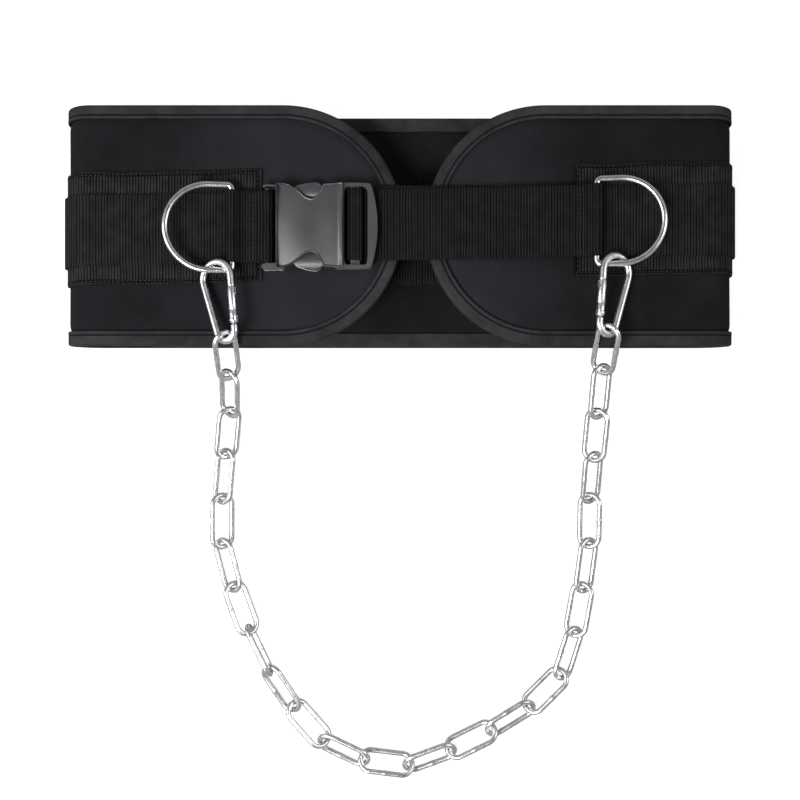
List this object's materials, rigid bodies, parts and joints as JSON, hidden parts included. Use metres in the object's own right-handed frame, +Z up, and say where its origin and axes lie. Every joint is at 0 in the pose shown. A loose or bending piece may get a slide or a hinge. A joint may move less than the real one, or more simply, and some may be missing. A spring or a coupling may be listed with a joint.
{
  "type": "dip belt",
  "caption": "Padded weightlifting dip belt lying closed: webbing with a side-release buckle, D-rings, snap hooks and a chain for hanging weight plates.",
  "frame": {"origin": "centre of the whole part's box, at the level of the surface that it lies on", "axes": "+X along the belt towards the right ring, +Y across the belt away from the chain, +Z up from the surface"},
  "size_m": [0.4576, 0.4612, 0.061],
  "materials": {
    "belt_fabric": "knit fabric laminated on foam, matte",
    "binding_tape": "soft woven tape, matte",
    "black_webbing": "ribbed woven webbing, slight sheen",
    "grey_plastic": "satin moulded",
    "nickel_steel": "nickel plated",
    "zinc_steel": "bright zinc plated"
  },
  "bodies": {
    "belt": {"adjusting_strap": "black_webbing", "belt_body": "belt_fabric", "buckle_plug": "grey_plastic", "buckle_socket": "grey_plastic", "edge_binding": "binding_tape", "hook_left": "zinc_steel", "hook_right": "zinc_steel", "inner_band": "black_webbing", "link_01": "zinc_steel", "link_02": "zinc_steel", "link_03": "zinc_steel", "link_04": "zinc_steel", "link_05": "zinc_steel", "link_06": "zinc_steel", "link_07": "zinc_steel", "link_08": "zinc_steel", "link_09": "zinc_steel", "link_10": "zinc_steel", "link_11": "zinc_steel", "link_12": "zinc_steel", "link_13": "zinc_steel", "link_14": "zinc_steel", "link_15": "zinc_steel", "link_16": "zinc_steel", "link_17": "zinc_steel", "link_18": "zinc_steel", "link_19": "zinc_steel", "link_20": "zinc_steel", "link_21": "zinc_steel", "link_22": "zinc_steel", "link_23": "zinc_steel", "link_24": "zinc_steel", "load_strap": "black_webbing", "loop_strap": "black_webbing", "pin_left": "zinc_steel", "pin_right": "zinc_steel", "ring_left": "nickel_steel", "ring_right": "nickel_steel", "wide_webbing": "black_webbing"},
    "left_gate": {"gate_left": "zinc_steel"},
    "right_gate": {"gate_right": "zinc_steel"}
  },
  "joints": [
    {"name": "left_gate_hinge", "type": "hinge", "parent": "belt", "child": "left_gate", "pos_m": [-0.10778, 0.08603, 0.05643], "axis": [-0.4427, 0.0273, 0.8963], "range_deg": [0, 22], "stiffness_Nm_per_rad": 0.05, "springref_deg": -8.59},
    {"name": "right_gate_hinge", "type": "hinge", "parent": "belt", "child": "right_gate", "pos_m": [0.1295, 0.09033, 0.05795], "axis": [-0.4972, -0.0303, -0.8671], "range_deg": [0, 22], "stiffness_Nm_per_rad": 0.05, "springref_deg": -8.59}
  ]
}
